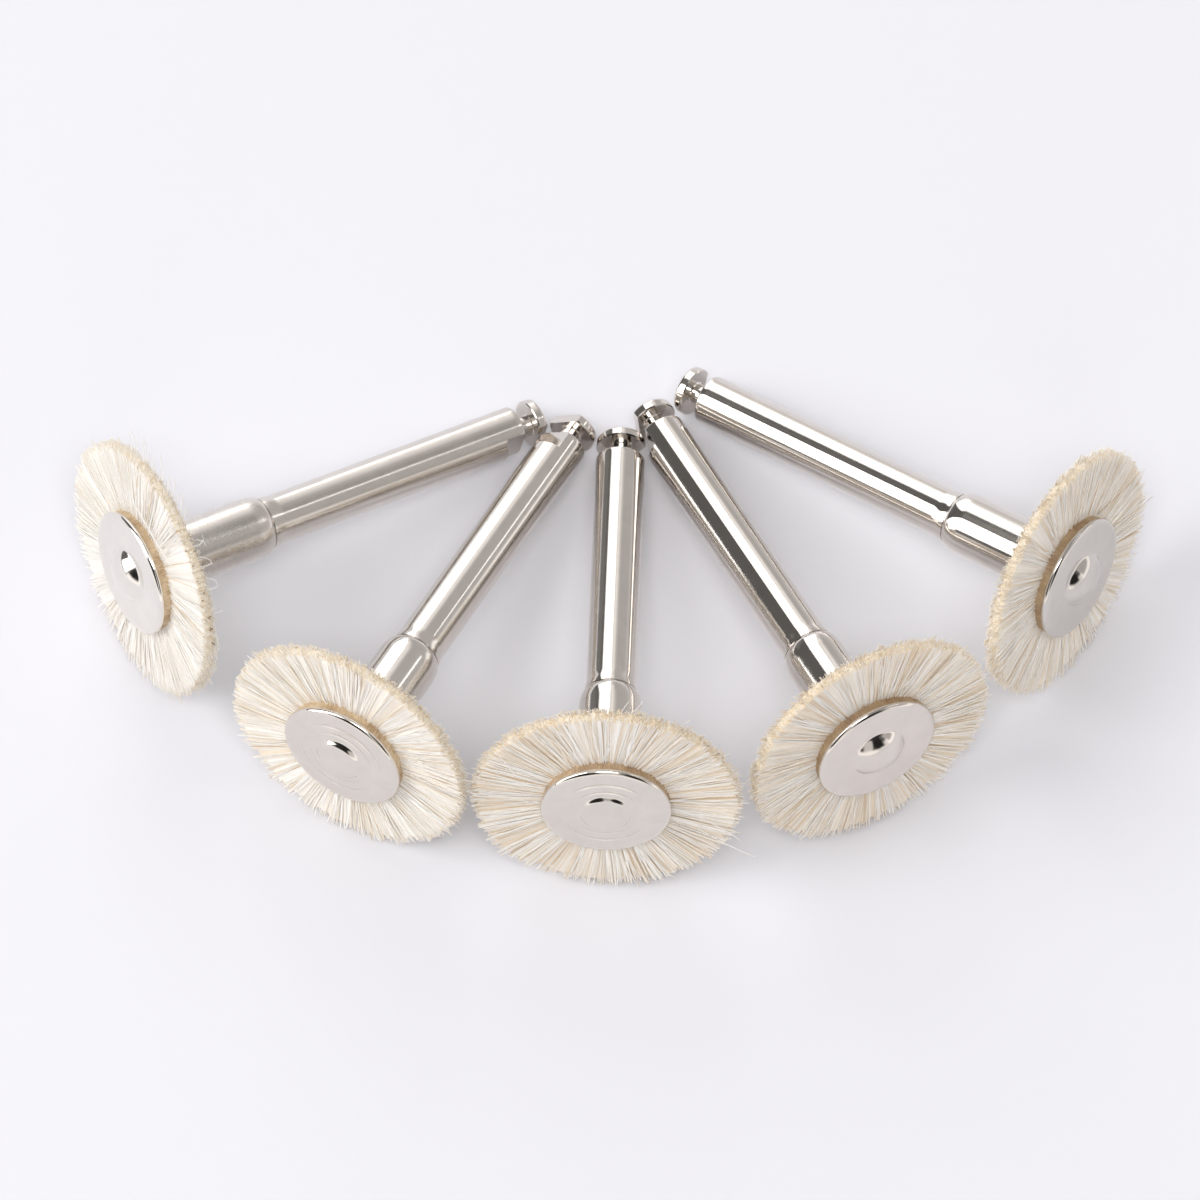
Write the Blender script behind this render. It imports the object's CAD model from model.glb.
# Five latch-shank bristle wheel brushes, laid in a fan on a pale table.
# Sizes are in millimetres in a brush's own frame: Y runs along the brush from the face of its
# front cap towards the latch end, Z is the upper side and X the side on the viewer's right.
from math import atan2, cos, pi, radians, sin, tan

import bpy
import numpy as np
from mathutils import Matrix, Vector


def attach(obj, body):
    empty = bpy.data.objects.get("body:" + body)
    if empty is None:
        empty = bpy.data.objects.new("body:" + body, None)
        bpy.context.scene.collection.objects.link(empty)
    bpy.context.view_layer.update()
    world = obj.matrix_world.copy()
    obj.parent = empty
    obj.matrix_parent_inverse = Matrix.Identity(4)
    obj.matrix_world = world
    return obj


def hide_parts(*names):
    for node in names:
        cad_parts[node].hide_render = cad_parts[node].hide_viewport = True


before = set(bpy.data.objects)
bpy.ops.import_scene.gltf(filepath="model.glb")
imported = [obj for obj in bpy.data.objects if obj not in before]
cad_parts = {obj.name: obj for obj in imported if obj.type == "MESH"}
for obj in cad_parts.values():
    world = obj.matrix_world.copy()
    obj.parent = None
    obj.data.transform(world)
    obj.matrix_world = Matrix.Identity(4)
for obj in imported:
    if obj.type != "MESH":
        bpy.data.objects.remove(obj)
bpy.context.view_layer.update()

# ---- Shanks ----------------------------------------------------------------------------------
# Turned steel mandrels, bright nickel plated: a thin spigot for the wheel, a swell where the
# collar is pressed on, the 2.35 mm shank, and the latch end with its groove, button and milled
# drive flat. Each is one piece, turned from bar and then milled.

brush_numbers = (1, 2, 3, 4, 5)
core_middle = 1.09                      # station of the middle of the bristle roots
millimetre = 0.001                      # in metres


def ring_centre(node):
    """The middle of a CAD node that is round about its brush's axis, in metres."""
    points = np.array([v.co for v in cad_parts[node].data.vertices], float)
    return np.unique(np.round(points, 7), axis=0).mean(0)


def brush_frame(number):
    """Turns a brush's own millimetres into the object's metres."""
    middle = Vector(ring_centre(f"core_{number}"))
    along = (Vector(ring_centre(f"collar_{number}")) - middle).normalized()
    across = along.cross(Vector((0, 0, 1))).normalized()
    upper = across.cross(along)
    turn = Matrix((across, along, upper)).transposed().to_4x4()
    start = middle - along * core_middle * millimetre
    return Matrix.Translation(start) @ turn @ Matrix.Scale(millimetre, 4)


frames = {n: brush_frame(n) for n in brush_numbers}


def eased(r0, s0, r1, s1, steps=5):
    """Points of a quarter ellipse that leaves the first point along the axis."""
    turns = [i / steps * pi / 2 for i in range(steps + 1)]
    return [(r1 + (r0 - r1) * cos(t), s0 + (s1 - s0) * sin(t)) for t in turns]


def select_ring(piece, radius, station):
    """Selects the vertices at one radius and station."""
    for v in piece.data.vertices:
        v.select = abs(v.co.y - station) < 1e-4 and abs(v.co.xz.length - radius) < 1e-4


def turned(name, outline, sides=96):
    """Draws a round shape out ring by ring. The outline's points are (radius, station): it runs
    from the axis back to the axis, or else closes on its first point."""
    solid = outline[0][0] == 0
    points = outline[1:] if solid else outline + outline[:1]
    radius, station = points[0]
    bpy.ops.object.select_all(action="DESELECT")
    bpy.ops.mesh.primitive_circle_add(
        vertices=sides, radius=radius, fill_type="TRIFAN" if solid else "NOTHING",
        rotation=(pi / 2, 0, 0))
    piece = bpy.context.active_object
    piece.name = piece.data.name = name
    bpy.ops.object.transform_apply(rotation=True)
    for v in piece.data.vertices:
        v.co.y = station if v.co.length > radius / 2 else outline[0][1]
    select_ring(piece, radius, station)
    bpy.ops.object.mode_set(mode="EDIT")
    bpy.ops.mesh.select_mode(type="VERT")
    for next_radius, next_station in points[1:]:
        bpy.ops.mesh.extrude_region_move(
            TRANSFORM_OT_translate={"value": (0, next_station - station, 0)})
        if next_radius == 0:
            bpy.ops.mesh.merge(type="CENTER")
        elif next_radius != radius:
            grow = next_radius / radius
            bpy.ops.transform.resize(value=(grow, 1, grow), center_override=(0, next_station, 0))
        radius, station = next_radius, next_station
    bpy.ops.mesh.select_all(action="SELECT")
    bpy.ops.mesh.remove_doubles(threshold=1e-5)
    bpy.ops.mesh.normals_make_consistent(inside=False)
    bpy.ops.object.mode_set(mode="OBJECT")
    return piece


def cut_away(piece, tool):
    """Takes the tool's shape out of the piece."""
    bpy.ops.object.select_all(action="DESELECT")
    bpy.context.view_layer.objects.active = piece
    piece.select_set(True)
    cut = piece.modifiers.new("cut", "BOOLEAN")
    cut.operation, cut.solver, cut.object = "DIFFERENCE", "EXACT", tool
    bpy.ops.object.modifier_apply(modifier=cut.name)
    bpy.data.objects.remove(tool)


def smooth(piece, angle=32):
    """Shades the piece smooth, with edges sharper than the angle left as edges."""
    bpy.ops.object.select_all(action="DESELECT")
    bpy.context.view_layer.objects.active = piece
    piece.select_set(True)
    bpy.ops.object.shade_smooth_by_angle(angle=radians(angle))


def lay_in(piece, number, node, material):
    """Puts a finished piece in its place on its brush, for the CAD node it stands for."""
    piece.data.transform(frames[number])
    piece.data.materials.clear()
    piece.data.materials.append(material)
    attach(piece, f"brush_{number}")
    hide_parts(node)


def node_maker(material):
    """Returns a function that adds a node and sets its values and links."""
    tree = material.node_tree

    def add(kind, links=(), **settings):
        node = tree.nodes.new(kind)
        for key, value in settings.items():
            setattr(node, key, value)
        for socket, source in dict(links).items():
            if hasattr(source, "links"):
                tree.links.new(source, node.inputs[socket])
            else:
                node.inputs[socket].default_value = source
        return node

    return add


def on_brush(add, number):
    """Coordinates in the brush's own millimetres."""
    place, turn, _ = frames[number].decompose()
    where = add("ShaderNodeTexCoord").outputs["Object"]
    return add("ShaderNodeMapping", {"Vector": where, "Location": place,
               "Rotation": turn.to_euler(), "Scale": [millimetre] * 3},
               vector_type="TEXTURE").outputs["Vector"]


def nickel(name, number, tint, smooth_part, rough_part, draw, grain):
    """Bright nickel: fine turning marks and smears in its gloss, a faint stain in its colour.
    draw stretches the marks: along the axis below 1, around it above 1."""
    material = bpy.data.materials.new(name)
    material.use_nodes = True
    material.node_tree.nodes.clear()
    add = node_maker(material)
    where = on_brush(add, number)
    stretched = add("ShaderNodeMapping", {"Vector": where, "Scale": (1, draw, 1)}).outputs["Vector"]
    marks = add("ShaderNodeTexNoise", {"Vector": stretched, "Scale": 6.0, "Detail": 6.0,
                "Roughness": 0.65}).outputs["Fac"]
    smears = add("ShaderNodeTexNoise", {"Vector": where, "Scale": 0.9, "Detail": 4.0,
                 "Roughness": 0.6, "Distortion": 0.6}).outputs["Fac"]
    both = add("ShaderNodeMath", {0: marks, 1: smears}, operation="MULTIPLY").outputs[0]
    gloss = add("ShaderNodeMapRange", {"Value": both, "From Min": 0.12, "From Max": 0.42,
                "To Min": smooth_part, "To Max": rough_part}).outputs["Result"]
    stain = add("ShaderNodeMapRange", {"Value": smears, "From Min": 0.3, "From Max": 0.7,
                "To Min": 0.0, "To Max": 1.0}).outputs["Result"]
    dull = tuple(c * 0.93 for c in tint)
    colour = add("ShaderNodeMix", {"Factor": stain, "A": (*dull, 1), "B": (*tint, 1)},
                 data_type="RGBA")
    colour_out = next(o for o in colour.outputs if o.type == "RGBA")
    bump = add("ShaderNodeBump", {"Height": marks, "Strength": grain, "Distance": 0.00001})
    shader = add("ShaderNodeBsdfPrincipled", {"Base Color": colour_out, "Metallic": 1.0,
                 "Roughness": gloss, "Normal": bump.outputs["Normal"]})
    add("ShaderNodeOutputMaterial", {"Surface": shader.outputs["BSDF"]})
    return material


nickel_tint = (0.76, 0.715, 0.67)
shank_radius = 1.175
shank_front = 2.20
spigot_radius, spigot_front = 0.8, 0.27
brush_length = {1: 22.3, 2: 22.8, 3: 22.1, 4: 22.95, 5: 22.7}
collar_end = {1: 7.3, 2: 7.05, 3: 6.85, 4: 6.85, 5: 7.15}
swell_height, swell_length = 0.08, 0.7
groove_width, neck_radius = 0.72, 0.505
button_thickness, button_round = 0.5, 0.17
bevel, front_bevel = 0.05, 0.04         # of the spigot, neck and button; of the shank's front
neck_fillet = 0.06
shoulder_radial, shoulder_axial = 0.14, 0.12
plain_end = 0.3                         # the plain shank ends this far before the groove
close_ring = 0.02                       # a ring this close to a bend keeps it crisp
flat_turn = {1: 90, 2: -40, 3: 130, 4: -90, 5: 130}
flat_distance, flat_length = 0.755, 2.3
# roughness at the smoothest and the dullest spots, and how deep the turning marks are
shank_gloss = {1: (0.12, 0.24), 2: (0.08, 0.16), 3: (0.055, 0.12), 4: (0.035, 0.08),
               5: (0.045, 0.1)}
shank_grain = {1: 0.14, 2: 0.14, 3: 0.12, 4: 0.1, 5: 0.1}


def shank_outline(number):
    """A mandrel's outline from the front of its spigot to the end of its button."""
    end = brush_length[number]
    button = end - button_thickness
    groove = button - groove_width
    swell_start = collar_end[number] + close_ring
    swell = [(shank_radius + swell_height * (1 + cos(t)) / 2, swell_start + swell_length * t / pi)
             for t in (0, 0.6, 1.2, 1.8, 2.4, pi)]
    fillet = eased(neck_radius + neck_fillet, groove, neck_radius, groove + neck_fillet, 3)
    return [
        (0, spigot_front), (spigot_radius - bevel, spigot_front),
        (spigot_radius, spigot_front + bevel), (spigot_radius, shank_front),
        (shank_radius - front_bevel, shank_front), (shank_radius, shank_front + front_bevel),
        (shank_radius, collar_end[number]), *swell,
        (shank_radius, groove - plain_end),
        *eased(shank_radius, groove - shoulder_axial, shank_radius - shoulder_radial, groove),
        (neck_radius + neck_fillet, groove), *fillet[1:],
        (neck_radius, button - bevel), (neck_radius + bevel, button),
        (shank_radius - bevel, button), (shank_radius, button + bevel),
        (shank_radius, end - button_round - close_ring),
        *eased(shank_radius, end - button_round, shank_radius - button_round, end),
        (0, end),
    ]


for n in brush_numbers:
    shank = turned(f"mandrel_{n}", shank_outline(n))
    bpy.ops.object.select_all(action="DESELECT")
    bpy.ops.mesh.primitive_cube_add(size=2)
    mill = bpy.context.active_object
    mill.data.transform(Matrix.Rotation(radians(flat_turn[n]), 4, "Y")
                        @ Matrix.Translation((0, brush_length[n], flat_distance + 1))
                        @ Matrix.Diagonal((2, flat_length, 1, 1)))
    cut_away(shank, mill)
    smooth(shank)
    finish = nickel(f"shank_nickel_{n}", n, nickel_tint, *shank_gloss[n], draw=9,
                    grain=shank_grain[n])
    lay_in(shank, n, f"shank_{n}", finish)

# ---- Collars ---------------------------------------------------------------------------------
# A sleeve drawn from nickel-plated sheet, pressed over the shank behind the wheel. Its far end is
# spun in to a long soft dome that closes on the shank in a thin rolled lip.

collar_front, collar_bore, collar_radius = 2.20, 1.195, 1.475
collar_bevel = 0.04
dome_length = 0.95
lip_wall, lip_length, lip_bevel = 0.04, 0.05, 0.02
collar_gloss = {1: (0.18, 0.34), 2: (0.09, 0.18), 3: (0.07, 0.14), 4: (0.05, 0.1), 5: (0.05, 0.11)}

for n in brush_numbers:
    far = collar_end[n]
    dome = eased(collar_radius, far - dome_length, collar_bore + lip_wall, far - lip_length, 12)
    collar = turned(f"sleeve_{n}", [
        (collar_bore, collar_front), (collar_radius - collar_bevel, collar_front),
        (collar_radius, collar_front + collar_bevel), *dome,
        (collar_bore + lip_wall, far - lip_bevel), (collar_bore + lip_bevel, far),
        (collar_bore, far),
    ])
    smooth(collar)
    finish = nickel(f"collar_nickel_{n}", n, nickel_tint, *collar_gloss[n], draw=5, grain=0.15)
    lay_in(collar, n, f"collar_{n}", finish)

# ---- Caps ------------------------------------------------------------------------------------
# Two discs stamped from thin nickel-plated sheet clamp the bristle roots. The front ones of
# brushes 2 and 3 have a flat boss inside two faint pressed rings; on 1, 4 and 5 the middle is a
# round dome. The back ones are plain, with a hole for the spigot.

cap_radius, sheet = 3.025, 0.25
edge_radial, edge_axial = 0.3, 0.2      # the rounded outer edge
edge_flat = 0.06                        # and the flat before it
# how steep the middle of a front cap is, as pairs of a radius and degrees; a ring goes up and down
dome_slopes = ((0, 0), (0.5, 12), (0.8, 24), (1.05, 35), (1.3, 48), (1.46, 0))
face_slopes = {
    1: dome_slopes, 4: dome_slopes, 5: dome_slopes,
    2: ((0, 0), (0.94, 0), (1.01, 30), (1.12, 44), (1.22, 30), (1.3, 0), (1.46, 0), (1.56, 30),
        (1.66, -24), (1.76, 0), (1.92, 0), (2.04, 33), (2.16, -26), (2.28, 0)),
    3: ((0, 0), (1.03, 0), (1.08, 30), (1.15, 48), (1.22, 30), (1.275, 0), (1.42, 0), (1.51, 28),
        (1.6, -22), (1.69, 0), (1.92, 0), (2.03, 31), (2.14, -24), (2.25, 0)),
}
cap_tint = {1: (0.88, 0.84, 0.79), 2: (0.785, 0.735, 0.68), 3: (0.785, 0.74, 0.685),
            4: (0.775, 0.72, 0.67), 5: (0.69, 0.65, 0.61)}
cap_gloss = (0.08, 0.17)
rear_cap_front, rear_cap_back, spigot_bore = 1.93, 2.18, 0.82


def cap_face(slopes, steps=6):
    """The outer face of a front cap, from the middle outwards: its slopes added up."""
    face, rise = [(0, 0)], 0
    for (r0, a0), (r1, a1) in zip(slopes, slopes[1:]):
        pieces = 1 if a0 == a1 == 0 else steps
        for i in range(pieces):
            steep = radians(a0 + (a1 - a0) * (i + 0.5) / pieces)
            rise += tan(steep) * (r1 - r0) / pieces
            face.append((r0 + (r1 - r0) * (i + 1) / pieces, rise))
    return [(r, s - rise) for r, s in face]


for n in brush_numbers:
    face = cap_face(face_slopes[n])
    edge = [(cap_radius - edge_radial - edge_flat, 0),
            *eased(cap_radius, edge_axial, cap_radius - edge_radial, 0, 10)[::-1]]
    back = [(r, s + sheet) for r, s in face[::-1]]
    cap = turned(f"front_plate_{n}", face + edge + [(cap_radius, sheet)] + back, sides=128)
    smooth(cap, 40)
    finish = nickel(f"cap_nickel_{n}", n, cap_tint[n], *cap_gloss, draw=1, grain=0.12)
    lay_in(cap, n, f"front_cap_{n}", finish)

    plate = turned(f"back_plate_{n}", [
        (spigot_bore, rear_cap_front), (cap_radius, rear_cap_front),
        *eased(cap_radius, rear_cap_back - edge_axial, cap_radius - edge_radial, rear_cap_back, 6),
        (spigot_bore, rear_cap_back),
    ])
    smooth(plate, 40)
    lay_in(plate, n, f"rear_cap_{n}", finish)

# ---- Bristle roots ---------------------------------------------------------------------------
# The roots of the bristles, bonded with tan resin into a hard ring between the caps. Its edge
# shows as a narrow ridged band on each side of the bristles.

core_radius, core_front, core_back = 2.975, 0.27, 1.91
band_bevel = 0.03
band_sides, band_seed = 144, 40
band_depth = 0.05                       # the edge, as far in as it is grooved
groove_depth, tooth_depth = 0.045, 0.03     # uneven grooves, and every second side drawn in
resin_light, resin_dark = (0.78, 0.615, 0.41), (0.36, 0.225, 0.11)
resin_shade = {1: (1, 1, 1), 2: (1, 1, 1), 3: (0.76, 0.71, 0.68), 4: (0.67, 0.60, 0.53),
               5: (0.69, 0.63, 0.56)}


def resin(name, number, shade):
    """Tan resin in blotches, with fine threads across the band."""
    material = bpy.data.materials.new(name)
    material.use_nodes = True
    material.node_tree.nodes.clear()
    add = node_maker(material)
    where = on_brush(add, number)
    thin = add("ShaderNodeMapping", {"Vector": where, "Scale": (1, 0.12, 1)}).outputs["Vector"]
    threads = add("ShaderNodeTexNoise", {"Vector": thin, "Scale": 22.0,
                  "Detail": 3.0}).outputs["Fac"]
    blotch = add("ShaderNodeTexNoise", {"Vector": where, "Scale": 1.6,
                 "Detail": 4.0}).outputs["Fac"]
    mixed = add("ShaderNodeMath", {0: threads, 1: blotch}, operation="ADD").outputs[0]
    depth = add("ShaderNodeMapRange", {"Value": mixed, "From Min": 0.7,
                "From Max": 1.3}).outputs["Result"]
    ramp = add("ShaderNodeValToRGB", {"Fac": depth})
    for stop, colour in zip(ramp.color_ramp.elements, (resin_dark, resin_light)):
        stop.color = (*(c * s for c, s in zip(colour, shade)), 1)
    bump = add("ShaderNodeBump", {"Height": threads, "Strength": 0.5, "Distance": 0.00003})
    shader = add("ShaderNodeBsdfPrincipled", {"Base Color": ramp.outputs["Color"],
                 "Roughness": 0.5, "Normal": bump.outputs["Normal"]})
    add("ShaderNodeOutputMaterial", {"Surface": shader.outputs["BSDF"]})
    return material


for n in brush_numbers:
    outline = [(spigot_bore, core_front), (core_radius - band_bevel, core_front),
               (core_radius, core_front + band_bevel), (core_radius, core_back - band_bevel),
               (core_radius - band_bevel, core_back), (spigot_bore, core_back)]
    core = turned(f"roots_{n}", outline, sides=band_sides)
    grooves = np.random.default_rng(band_seed + n).uniform(0.0, groove_depth, band_sides)
    for v in core.data.vertices:
        if v.co.xz.length > core_radius - band_depth:
            k = int(round(atan2(v.co.x, v.co.z) / (2 * pi) * band_sides)) % band_sides
            drawn_in = 1 - (grooves[k] + (tooth_depth if k % 2 else 0)) / core_radius
            v.co.x *= drawn_in
            v.co.z *= drawn_in
    smooth(core, 50)
    lay_in(core, n, f"core_{n}", resin(f"bonded_roots_{n}", n, resin_shade[n]))

# ---- Bristle wheels --------------------------------------------------------------------------
# Natural white bristle, cut round. The bristles leave the roots packed in tight tufts, spread a
# little on their way out, and end in a ragged tan rim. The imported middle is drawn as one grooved
# ring, and single bristles, all copies of one, lie in its faces and stand out at its rim.

wheel_radius = {1: 6.2, 2: 6.05, 3: 6.2, 4: 6.1, 5: 6.1}
bristle_front, bristle_back = 0.69, 1.49
rim_front, rim_back = 0.58, 1.34
rim_short = 0.10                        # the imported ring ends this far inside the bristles' tips
rim_round = 0.11
rim_squeeze = 0.12                      # how much thinner the rim is at each side, on top
pack_sides = 720
pack_half = 0.4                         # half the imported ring's thickness
pack_inset = 0.03                       # it lies this far inside the bristles' faces
pack_overlap, root_depth = 0.03, 0.05   # it and the single bristles start inside the resin
pack_relief, tuft_relief = 0.014, 0.016     # how uneven its faces are: by bristle and by tuft
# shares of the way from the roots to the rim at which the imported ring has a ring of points
pack_shares = (0, 0.06, 0.14, 0.28, 0.44, 0.6, 0.75, 0.85, 0.92, 0.955)
tuft_count = 104
bristle_count = 4000
wheel_seed = 70
bristle_steps = (0, 0.4, 0.75, 0.985, 1)
bristle_radius = {1: 0.026, 2: 0.030, 3: 0.034, 4: 0.028, 5: 0.028}
# tones run from 0, brown, over 0.15, tan, and 0.4, cream, to 1, white
tan_share = {1: 0.02, 2: 0.06, 3: 0.12, 4: 0.10, 5: 0.06}
cream_share = {1: 0.12, 2: 0.42, 3: 0.42, 4: 0.42, 5: 0.42}     # with the tan ones
ring_tone = {1: 1.0, 2: 0.80, 3: 0.50, 4: 0.50, 5: 0.72}
ring_contrast = {1: 3.0, 2: 7.0, 3: 10.0, 4: 8.0, 5: 6.0}
front_share, back_share = 0.16, 0.20    # of the bristles, these lie on the two faces
wild_share, stray_share = 0.16, 0.08    # these lean further, and these are longer or shorter
bristle_lean, wild_lean = 0.026, 0.075  # in radians
bristle_bend, wild_bend = 0.03, 0.09
least_height = 0.03                     # the lowest tips stay this far over the table

# single stray bristles: brush; angle, radius and station of the root and of the tip; bend
# sideways and along the axis; half thickness; tone
strays = (
    (1, -22, 3.87, 0.53, 28.5, 4.64, 0.35, 0.0, -0.03, 0.036, 0.98),
    *((1, a, 5.8, 1.2, a - 3, r, 1.3, 0.05, 0.05, 0.023, 0.97) for a, r in (
        (-36, 6.9), (-33, 7.2), (-31, 6.8), (-25, 7.1), (-23, 7.4), (-20, 6.9), (-16, 7.0),
        (-11, 7.5), (-9, 7.0), (-4, 6.9), (0, 7.2), (4, 6.8), (7, 7.1), (11, 6.8))),
    *((1, a, 5.8, 1.2, b, r, 1.6, c, 0.15, 0.020, 0.97) for a, b, r, c in (
        (16, 13, 6.5, 0.1), (20, 25, 6.5, -0.12), (24, 20, 6.55, 0.14), (28, 33, 6.45, -0.1),
        (33, 31, 6.5, 0.12), (38, 42, 6.4, -0.08), (44, 42, 6.4, 0.08), (56, 53, 6.4, 0.1))),
    *((1, a, 6.05, s, a, 6.25, s, 0.0, 0.0, 0.036, 0.02) for a, s in (
        (24, 0.72), (31, 0.8), (38, 0.78), (44, 0.95), (47, 0.82), (55.5, 1.05), (56.2, 0.98),
        (61, 1.0), (61.6, 1.06), (62.2, 0.97), (70, 1.1))),
    (2, 74, 5.4, 0.9, 71, 7.1, 0.9, 0.05, 0.0, 0.018, 0.97),
    (2, 80, 5.4, 0.9, 79, 6.9, 0.8, -0.06, 0.0, 0.018, 0.97),
    (3, 112, 4.6, 0.55, 118, 7.9, 0.50, 0.10, 0.0, 0.026, 0.98),
    (3, 101, 4.4, 0.55, 111, 6.7, 0.45, -0.08, 0.0, 0.026, 0.98),
    (3, -66, 4.6, 0.60, -54, 6.4, 0.45, 0.10, 0.0, 0.026, 0.97),
    (3, 8, 5.6, 1.2, 13, 7.0, 1.35, 0.05, 0.0, 0.024, 0.98),
    (3, 5, 5.6, 1.2, 8, 6.8, 1.35, -0.05, 0.0, 0.024, 0.98),
    (3, 30, 5.6, 1.2, 34, 6.75, 1.3, 0.05, 0.0, 0.024, 0.98),
    (3, 168, 4.5, 0.5, 166, 6.6, 0.5, 0.05, 0.0, 0.028, 0.98),
    (3, 152, 4.5, 0.5, 149, 6.7, 0.5, 0.08, 0.0, 0.028, 0.98),
    (5, 60, 3.1, 0.60, 82, 6.0, 0.42, 0.08, -0.03, 0.018, 0.08),
    (5, 98, 3.1, 0.60, 107, 6.6, 0.42, 0.05, -0.03, 0.018, 0.08),
)


def one_bristle():
    """A straight three-sided bristle along Z, one long and one wide, as points and triangles."""
    bpy.ops.object.select_all(action="DESELECT")
    bpy.ops.mesh.primitive_circle_add(vertices=3, radius=1, fill_type="NGON")
    bristle = bpy.context.active_object
    bpy.ops.object.mode_set(mode="EDIT")
    bpy.ops.mesh.select_all(action="SELECT")
    for start, end in zip(bristle_steps, bristle_steps[1:]):
        bpy.ops.mesh.extrude_region_move(TRANSFORM_OT_translate={"value": (0, 0, end - start)})
    bpy.ops.mesh.select_all(action="SELECT")
    bpy.ops.mesh.quads_convert_to_tris()
    bpy.ops.mesh.normals_make_consistent(inside=False)
    bpy.ops.object.mode_set(mode="OBJECT")
    points = np.array([v.co for v in bristle.data.vertices], float)
    triangles = np.array([p.vertices for p in bristle.data.polygons], int)
    bpy.data.objects.remove(bristle)
    return points, triangles


bristle_points, bristle_triangles = one_bristle()


def unit(a):
    return a / np.linalg.norm(a, axis=-1, keepdims=True)


def around(angle, radius, station):
    """Points at an angle (from the upper side towards the right), a radius and a station."""
    return np.stack([np.sin(angle) * radius, station, np.cos(angle) * radius], -1)


def mark(piece, tone, reach):
    """Stores each vertex's tone and how far along its bristle it lies."""
    for key, values in (("tone", tone), ("reach", reach)):
        layer = piece.data.attributes.new(key, "FLOAT", "POINT")
        layer.data.foreach_set("value", np.asarray(values, np.float32))


def copies(name, roots, tips, bends, widths, tones):
    """Copies the bristle between roots and tips, each bent sideways and with its own tone."""
    count = len(roots)
    t = bristle_points[:, 2]
    run = tips - roots
    side = unit(np.cross(run, np.array([0.0, 1.0, 0.0])))
    other = unit(np.cross(side, run))
    line = roots[:, None] + run[:, None] * t[None, :, None]
    line = line + bends[:, None] * (t * (1 - t) * 4 * (0.5 + t))[None, :, None]
    ring = (side[:, None] * bristle_points[None, :, 0, None]
            + other[:, None] * bristle_points[None, :, 1, None])
    taper = 1 - 0.25 * t ** 2
    points = line + ring * widths[:, None, None] * taper[None, :, None]
    triangles = bristle_triangles[None] + np.arange(count)[:, None, None] * len(t)
    mesh = bpy.data.meshes.new(name)
    mesh.from_pydata(points.reshape(-1, 3), [], triangles.reshape(-1, 3).tolist())
    piece = bpy.data.objects.new(name, mesh)
    bpy.context.scene.collection.objects.link(piece)
    mark(piece, np.repeat(tones, len(t)), np.tile(t, count))
    return piece


def packed_ring(name, number, draw, tuft_of, lean_of, tuft_reach, splay):
    """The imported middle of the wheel: a ring whose faces are grooved between the bristles."""
    inner, outer = core_radius - pack_overlap, wheel_radius[number] - rim_short
    wide, front_run, back_run = outer - inner, rim_front - bristle_front, rim_back - bristle_back
    front = [(inner + wide * t, bristle_front + front_run * t + pack_inset) for t in pack_shares]
    back = [(inner + wide * t, bristle_back + back_run * t - pack_inset) for t in pack_shares]
    rim = [(outer - rim_round * (2 * t - 1) ** 4, rim_front + (rim_back - rim_front) * t)
           for t in np.linspace(0.07, 0.93, 12)]
    ring = turned(name, front + rim + back[::-1], sides=pack_sides)
    at = np.array([v.co for v in ring.data.vertices], float)
    radius = np.hypot(at[:, 0], at[:, 2])
    angle = np.arctan2(at[:, 0], at[:, 2])
    t = np.clip((radius - inner) / wide, 0, 1)
    k = np.round(angle / (2 * pi) * pack_sides).astype(int) % pack_sides
    is_back = at[:, 1] > bristle_front + front_run * t + pack_half
    # the faces, grooved
    relief = (pack_relief * draw.normal(0, 1, (2, pack_sides))
              + tuft_relief * draw.normal(0, 1, (2, tuft_count))[:, tuft_of])
    own = np.where(is_back, relief[1][k], relief[0][k])
    at[:, 1] += np.where(is_back, -own, own) * np.clip(t / 0.12, 0, 1)
    # thinner towards the top of the rim
    middle = (bristle_front + bristle_back) / 2 * (1 - t) + (rim_front + rim_back) / 2 * t
    thin = 1 - t * (1 - splay[tuft_of[k]]) * 2 * rim_squeeze / (rim_back - rim_front)
    at[:, 1] = middle + (at[:, 1] - middle) * thin
    # a ragged rim, and each tuft leaning its own way
    ragged = draw.normal(0, 0.03, pack_sides) + tuft_reach[tuft_of] - 0.12 * splay[tuft_of]
    radius += np.where(t > 0.86, ragged[k], 0) + draw.normal(0, 0.028, len(at)) * (t > 0.97)
    radius = np.minimum(radius, wheel_radius[number] - 0.03)
    at = around(angle + lean_of[k] * t, radius, at[:, 1])
    ring.data.vertices.foreach_set("co", at.astype(np.float32).ravel())
    # deeper is browner, most of all near the roots
    tone = ring_tone[number] - ring_contrast[number] * own
    tone += draw.normal(0, 0.08, (2, pack_sides))[is_back.astype(int), k]
    tone -= np.clip(0.45 - t, 0, 1) * np.clip(14 * own + 0.12, 0, 0.6)
    tone = tone + draw.normal(0, 0.2, len(at)) * (t > 0.96)
    mark(ring, np.clip(tone, 0.12, 0.95), 0.985 + 0.015 * np.clip((t - 0.93) / 0.06, 0, 1))
    return ring


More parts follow.
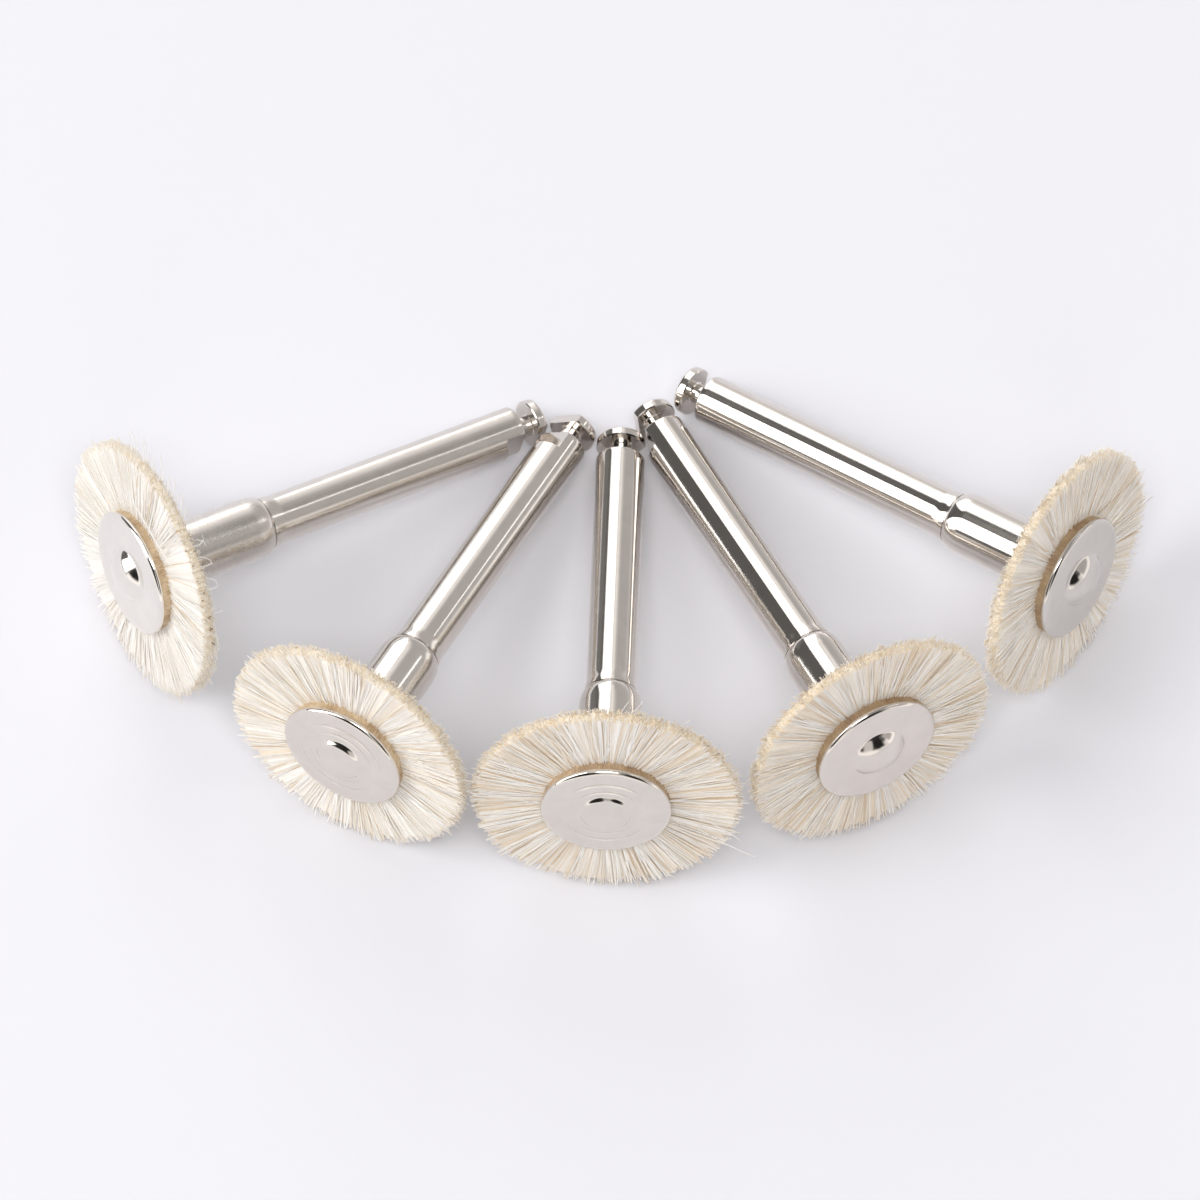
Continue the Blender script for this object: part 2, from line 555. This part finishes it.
def bristle_fibre(name):
    """Ivory bristle: its tone from brown to white, and its cut end a little browner."""
    material = bpy.data.materials.new(name)
    material.use_nodes = True
    material.node_tree.nodes.clear()
    add = node_maker(material)
    tone = add("ShaderNodeAttribute", attribute_name="tone").outputs["Fac"]
    reach = add("ShaderNodeAttribute", attribute_name="reach").outputs["Fac"]
    ramp = add("ShaderNodeValToRGB", {"Fac": tone})
    stops = ramp.color_ramp.elements
    stops[0].position, stops[0].color = 0.0, (0.16, 0.09, 0.05, 1)
    stops[1].position, stops[1].color = 1.0, (0.985, 0.965, 0.93, 1)
    for at, colour in ((0.06, (0.60, 0.43, 0.25, 1)), (0.15, (0.77, 0.62, 0.44, 1)),
                       (0.4, (0.91, 0.80, 0.665, 1)), (0.7, (0.94, 0.87, 0.77, 1))):
        stops.new(at).color = colour
    where = add("ShaderNodeTexCoord").outputs["Object"]
    flecks = add("ShaderNodeTexNoise", {"Vector": where, "Scale": 5000.0,
                 "Detail": 3.0}).outputs["Fac"]
    cut = add("ShaderNodeMapRange", {"Value": reach, "From Min": 0.988, "From Max": 1.0,
              "To Min": 0.0, "To Max": 0.7}).outputs["Result"]
    patchy = add("ShaderNodeMapRange", {"Value": flecks, "From Min": 0.4, "From Max": 0.6,
                 "To Min": 0.55, "To Max": 1.0}).outputs["Result"]
    amount = add("ShaderNodeMath", {0: cut, 1: patchy}, operation="MULTIPLY").outputs[0]
    ended = add("ShaderNodeMix", {"Factor": amount, "A": ramp.outputs["Color"],
                "B": (0.85, 0.71, 0.50, 1)}, data_type="RGBA")
    shader = add("ShaderNodeBsdfPrincipled", {
        "Base Color": next(o for o in ended.outputs if o.type == "RGBA"), "Roughness": 0.4,
        "Specular IOR Level": 0.4})
    add("ShaderNodeOutputMaterial", {"Surface": shader.outputs["BSDF"]})
    return material


fibre = bristle_fibre("white_bristle")

for n in brush_numbers:
    draw = np.random.default_rng(wheel_seed + n)
    tuft_middle = (np.arange(tuft_count) + 0.5) / tuft_count * 2 * pi
    tuft_lean = draw.normal(0, 0.012, tuft_count)
    tuft_forward = draw.normal(0, 0.02, tuft_count)
    splay = 0.5 - 0.5 * np.cos(tuft_middle)             # the lower bristles carry the brush
    tuft_reach = draw.normal(-0.01, 0.04, tuft_count) * (0.6 + splay)
    tuft_gather = draw.normal(0.03, 0.14, tuft_count)
    turns = np.arange(pack_sides) / pack_sides * tuft_count
    tuft_of = turns.astype(int) % tuft_count
    blend = turns % 1
    lean_of = tuft_lean[tuft_of] * (1 - blend) + tuft_lean[(tuft_of + 1) % tuft_count] * blend
    ring = packed_ring(f"bristle_wheel_{n}", n, draw, tuft_of, lean_of, tuft_reach, splay)

    # where each bristle starts and which way it leans
    count = bristle_count
    angle0 = draw.uniform(0, 2 * pi, count)
    k = (angle0 / (2 * pi) * pack_sides).astype(int) % pack_sides
    wild = draw.random(count) < wild_share
    lean = draw.normal(0, 1, count) * np.where(wild, wild_lean, bristle_lean)
    angle1 = angle0 + lean_of[k] + lean
    angle1 += tuft_gather[tuft_of[k]] * (tuft_middle[tuft_of[k]] - angle0)
    # from front to back: on a face or in between
    where_in = draw.random(count)
    in_front, in_back = where_in < front_share, where_in > 1 - back_share
    level = draw.uniform(0.06, 0.94, count)
    level = np.where(in_front, draw.uniform(-0.05, 0.06, count), level)
    level = np.where(in_back, draw.uniform(0.95, 1.015, count), level)
    station0 = bristle_front + level * (bristle_back - bristle_front)
    squeeze = rim_squeeze * (1 - splay[tuft_of[k]])
    station1 = (rim_front + squeeze + level * (rim_back - rim_front - 2 * squeeze)
                + tuft_forward[tuft_of[k]]
                + draw.normal(0, 0.02, count) * np.where(wild, 2.5, 1)
                - draw.uniform(0, 0.09, count) * in_front + draw.uniform(0, 0.09, count) * in_back)
    # how far it reaches, cut back where it would touch the table
    reach = (wheel_radius[n] + tuft_reach[tuft_of[k]]
             + draw.normal(-0.03, 0.07, count) * (0.5 + splay[tuft_of[k]]))
    stray = draw.random(count) < stray_share
    reach[stray] += draw.uniform(-0.6, 0.32, stray.sum())
    roots = around(angle0, core_radius - root_depth, station0)
    tips = around(angle1, reach, station1)
    rows = np.array(frames[n])[2] / millimetre          # a point's height over the table
    height = tips @ rows[:3] + rows[3]
    outward = around(angle1, 1, 0 * angle1) @ rows[:3]
    reach -= np.clip(least_height - height, 0, None) / np.maximum(0.3, -outward)
    tips = around(angle1, reach, station1)
    # bends, widths and tones
    sideways = unit(np.cross(tips - roots, np.array([0.0, 1.0, 0.0])))
    bend = draw.normal(0, 1, count) * np.where(wild, wild_bend, bristle_bend)
    bends = sideways * bend[:, None]
    bends[:, 1] += draw.normal(0, 0.01, count) - np.where(in_front & wild, 0.04, 0)
    widths = bristle_radius[n] * draw.uniform(0.6, 1.35, count)
    kind = draw.random(count)
    tans = draw.uniform(0.12, 0.35, count)
    creams = draw.uniform(0.45, 0.85, count)
    whites = draw.uniform(0.88, 1.0, count)
    tones = np.where(kind < tan_share[n], tans, np.where(kind < cream_share[n], creams, whites))
    # the single stray ones are added
    single = np.array([row[1:] for row in strays if row[0] == n], float).reshape(-1, 10)
    roots = np.vstack([roots, around(np.radians(single[:, 0]), single[:, 1], single[:, 2])])
    tips = np.vstack([tips, around(np.radians(single[:, 3]), single[:, 4], single[:, 5])])
    bends = np.vstack([bends, around(np.radians(single[:, 3] + 90), single[:, 6], single[:, 7])])
    widths, tones = np.append(widths, single[:, 8]), np.append(tones, single[:, 9])
    loose = copies(f"bristles_loose_{n}", roots, tips, bends, widths, tones)
    bpy.ops.object.select_all(action="DESELECT")
    loose.select_set(True)
    ring.select_set(True)
    bpy.context.view_layer.objects.active = ring
    bpy.ops.object.join()
    smooth(ring, 70)
    lay_in(ring, n, f"bristles_{n}", fibre)

# ---- Table, lights and camera ----------------------------------------------------------------
# A pale table under soft studio light: softboxes behind, on the left and above the camera, a thin
# strip on the right, and a dim room around them. Here sizes and places are in metres.

table_size = 6
bpy.ops.object.select_all(action="DESELECT")
bpy.ops.mesh.primitive_plane_add(size=table_size)
table = bpy.context.active_object
table.name = "table"
laminate = bpy.data.materials.new("pale_table")
laminate.use_nodes = True
laminate.node_tree.nodes.clear()
add = node_maker(laminate)
where = add("ShaderNodeTexCoord").outputs["Object"]
cloud = add("ShaderNodeTexNoise", {"Vector": where, "Scale": 20.0, "Detail": 2.0}).outputs["Fac"]
paper = add("ShaderNodeMix", {"Factor": cloud, "A": (0.850, 0.849, 0.897, 1),
            "B": (0.860, 0.859, 0.907, 1)}, data_type="RGBA")
board = add("ShaderNodeBsdfPrincipled", {
    "Base Color": next(o for o in paper.outputs if o.type == "RGBA"), "Roughness": 0.8,
    "Specular IOR Level": 0.1})
add("ShaderNodeOutputMaterial", {"Surface": board.outputs["BSDF"]})
table.data.materials.append(laminate)

aim = Vector((-0.00042, 0.00159, 0))    # where the camera looks and the lamps face
lamp_distance = 1.0


def softbox(name, azimuth, elevation, wide, tall, radiance, roll=0):
    """A flat lamp seen from the brushes at an azimuth (from the far side to the right) and an
    elevation, wide and tall in degrees. A roll leans its top to the right."""
    a, e = radians(azimuth), radians(elevation)
    towards = Vector((sin(a) * cos(e), cos(a) * cos(e), sin(e)))
    lamp = bpy.data.lights.new(name, "AREA")
    lamp.shape = "RECTANGLE"
    lamp.size = 2 * lamp_distance * sin(radians(wide) / 2)
    lamp.size_y = 2 * lamp_distance * sin(radians(tall) / 2)
    lamp.energy = radiance * pi * lamp.size * lamp.size_y
    lamp_object = bpy.data.objects.new(name, lamp)
    bpy.context.scene.collection.objects.link(lamp_object)
    lamp_object.location = aim + towards * lamp_distance
    facing = towards.to_track_quat("Z", "Y").to_matrix() @ Matrix.Rotation(radians(roll), 3, "Z")
    lamp_object.rotation_euler = facing.to_euler()


softbox("softbox_behind", -16.5, 27, 31, 50, 1.6, roll=-8)
softbox("softbox_left", -95.5, 31, 32, 62, 3.5, roll=-4)
softbox("softbox_above", 180, 69, 30, 16, 7.0)
softbox("strip_right", 72, 39.5, 3.2, 26, 2.5, roll=21)

world = bpy.data.worlds.new("room")
bpy.context.scene.world = world
world.use_nodes = True
world.node_tree.nodes.clear()
add = node_maker(world)
ray = add("ShaderNodeTexCoord").outputs["Generated"]
split = add("ShaderNodeSeparateXYZ", {"Vector": ray}).outputs
turn = add("ShaderNodeMath", {0: split["X"], 1: split["Y"]}, operation="ARCTAN2").outputs[0]
azimuth = add("ShaderNodeMath", {0: turn, 1: 180 / pi}, operation="MULTIPLY").outputs[0]
lift = add("ShaderNodeMath", {0: split["Z"]}, operation="ARCSINE").outputs[0]
elevation = add("ShaderNodeMath", {0: lift, 1: 180 / pi}, operation="MULTIPLY").outputs[0]


def band(value, low, high, soft):
    """1 between two angles, falling off over a soft edge."""
    rise = add("ShaderNodeMapRange", {"Value": value, "From Min": low - soft,
               "From Max": low + soft}, interpolation_type="SMOOTHSTEP").outputs["Result"]
    fall = add("ShaderNodeMapRange", {"Value": value, "From Min": high + soft,
               "From Max": high - soft}, interpolation_type="SMOOTHSTEP").outputs["Result"]
    return add("ShaderNodeMath", {0: rise, 1: fall}, operation="MULTIPLY").outputs[0]


# a dark room with patches of wall and ceiling lit, or a little darker where it is below zero:
# azimuths, elevations, soft edge, strength
room_dark = 0.135
lit_patches = (
    (6, 116, -10, 52, 3, 0.40), (6, 60, -10, 9, 3, 0.1), (60, 112, -10, 12, 4, 0.75),
    (-60, -36, -10, 18, 4, 0.08),
    (112, 127, -10, 24, 4, 0.8), (127, 150, -10, 10, 4, 0.8), (150, 190, -10, 13, 5, 1.1),
    (-190, -112, -10, 12, 5, 1.1), (162, 190, 12, 50, 4, 0.6), (-190, -168, 12, 50, 4, 0.6),
    (-168, -118, 13, 50, 4, -0.115), (127, 162, 12, 50, 4, -0.115),
    (-8, 5, -10, 20, 6, 1.1), (-8, 9, 20, 33, 8, 1.05), (-8, 16, 33, 52, 12, 0.7),
    (-190, 0, 55, 95, 6, 0.6), (0, 190, 55, 95, 6, 0.25),
)
strength = room_dark
for from_azimuth, to_azimuth, low, high, soft, more in lit_patches:
    across = band(azimuth, from_azimuth, to_azimuth, soft)
    both = add("ShaderNodeMath", {0: across, 1: band(elevation, low, high, min(soft, 6))},
               operation="MULTIPLY").outputs[0]
    strength = add("ShaderNodeMath", {0: both, 1: more, 2: strength},
                   operation="MULTIPLY_ADD").outputs[0]
room = add("ShaderNodeBackground", {"Color": (1, 0.975, 0.955, 1), "Strength": strength})
add("ShaderNodeOutputWorld", {"Surface": room.outputs["Background"]})

camera_elevation = 65.70
camera_distance = 0.4171
lens_data = bpy.data.cameras.new("camera")
lens_data.sensor_width = 36
lens_data.lens = 264.09
lens_data.clip_end = 20
camera = bpy.data.objects.new("camera", lens_data)
bpy.context.scene.collection.objects.link(camera)
e = radians(camera_elevation)
camera.location = aim + camera_distance * Vector((0, -cos(e), sin(e)))
camera.rotation_euler = (pi / 2 - e, 0, 0)
bpy.context.scene.camera = camera
bpy.context.scene.view_settings.view_transform = "Standard"
